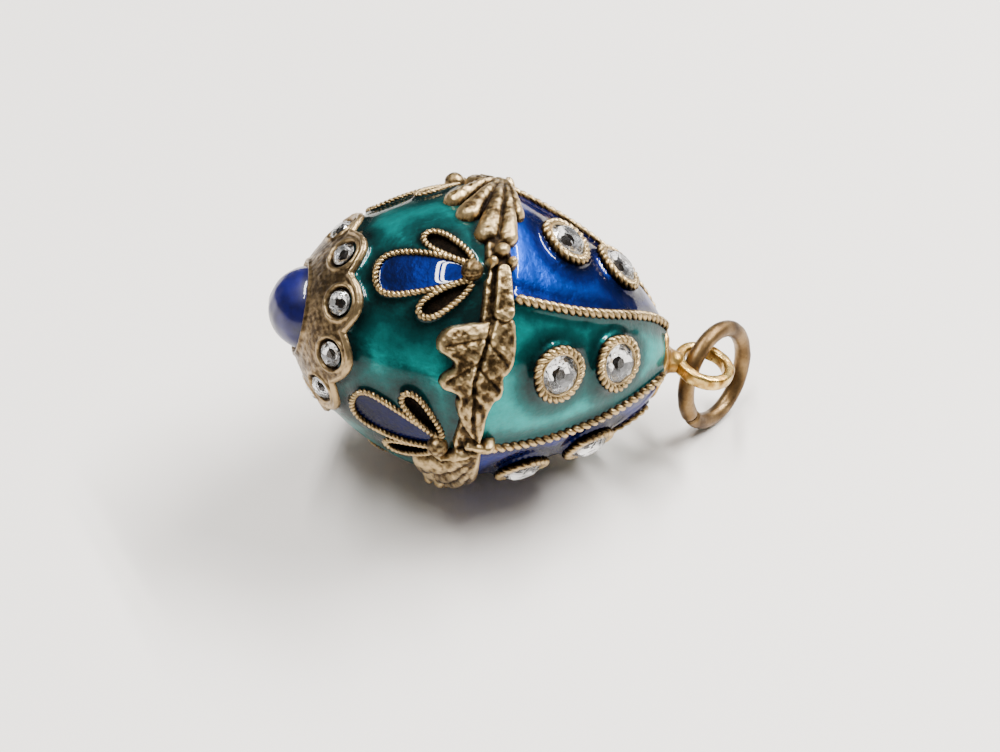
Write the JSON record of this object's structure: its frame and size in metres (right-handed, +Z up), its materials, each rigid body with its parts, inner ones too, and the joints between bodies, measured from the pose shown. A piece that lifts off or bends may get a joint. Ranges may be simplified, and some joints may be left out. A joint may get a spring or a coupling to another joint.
{
  "type": "egg pendant",
  "caption": "Egg pendant in gilt metal with green and blue enamel, stone-set collets, a leaf garland, a blue dome and a hanging ring.",
  "frame": {"origin": "centre of the bounding box's bottom face, on the table the pendant lies on", "axes": "+X along the length towards the ring, +Z up with the pendant lying on its side"},
  "size_m": [0.0346, 0.022, 0.0218],
  "materials": {
    "gilt": "antique gilt, dark in the recesses",
    "bright_gilt": "worn bright gilt",
    "aged_brass": "tarnished brass wire",
    "green_enamel": "glossy translucent teal enamel",
    "blue_enamel": "glossy translucent cobalt enamel",
    "petal_blue": "glossy deep blue enamel",
    "lapis": "polished opaque blue glass",
    "crystal": "clear faceted foil-backed stones"
  },
  "bodies": {
    "egg": {"flower_wire_1": "gilt", "petal_enamel_1": "petal_blue", "flower_wire_2": "gilt", "petal_enamel_2": "petal_blue", "flower_wire_3": "gilt", "petal_enamel_3": "petal_blue", "flower_wire_4": "gilt", "petal_enamel_4": "petal_blue", "flower_wire_5": "gilt", "petal_enamel_5": "petal_blue", "collar_stone_01": "crystal", "collar_stone_02": "crystal", "collar_stone_03": "crystal", "collar_stone_04": "crystal", "collar_stone_05": "crystal", "collar_stone_06": "crystal", "collar_stone_07": "crystal", "collar_stone_08": "crystal", "collar_stone_09": "crystal", "collar_stone_10": "crystal", "scalloped_collar": "gilt", "green_enamel_field": "green_enamel", "blunt_shell": "gilt", "pointed_shell": "gilt", "cabochon": "lapis", "panel_stone_01": "crystal", "panel_stone_02": "crystal", "enamel_panel_1": "green_enamel", "stone_setting_1": "gilt", "rope_wire_1": "gilt", "panel_stone_03": "crystal", "panel_stone_04": "crystal", "enamel_panel_2": "blue_enamel", "stone_setting_2": "gilt", "rope_wire_2": "gilt", "panel_stone_05": "crystal", "panel_stone_06": "crystal", "enamel_panel_3": "green_enamel", "stone_setting_3": "gilt", "rope_wire_3": "gilt", "panel_stone_07": "crystal", "panel_stone_08": "crystal", "enamel_panel_4": "blue_enamel", "stone_setting_4": "gilt", "rope_wire_4": "gilt", "panel_stone_09": "crystal", "panel_stone_10": "crystal", "enamel_panel_5": "green_enamel", "stone_setting_5": "gilt", "rope_wire_5": "gilt", "panel_stone_11": "crystal", "panel_stone_12": "crystal", "enamel_panel_6": "blue_enamel", "stone_setting_6": "gilt", "rope_wire_6": "gilt", "leaf_garland": "gilt", "top_cap": "gilt", "bail_eye": "bright_gilt"},
    "ring": {"jump_ring": "aged_brass"}
  },
  "joints": [
    {"name": "ring_swing", "type": "hinge", "parent": "egg", "child": "ring", "pos_m": [0.01373, 0.00158, 0.00616], "axis": [0.6813, -0.7206, 0.1287], "range_deg": [-2, 128]}
  ]
}
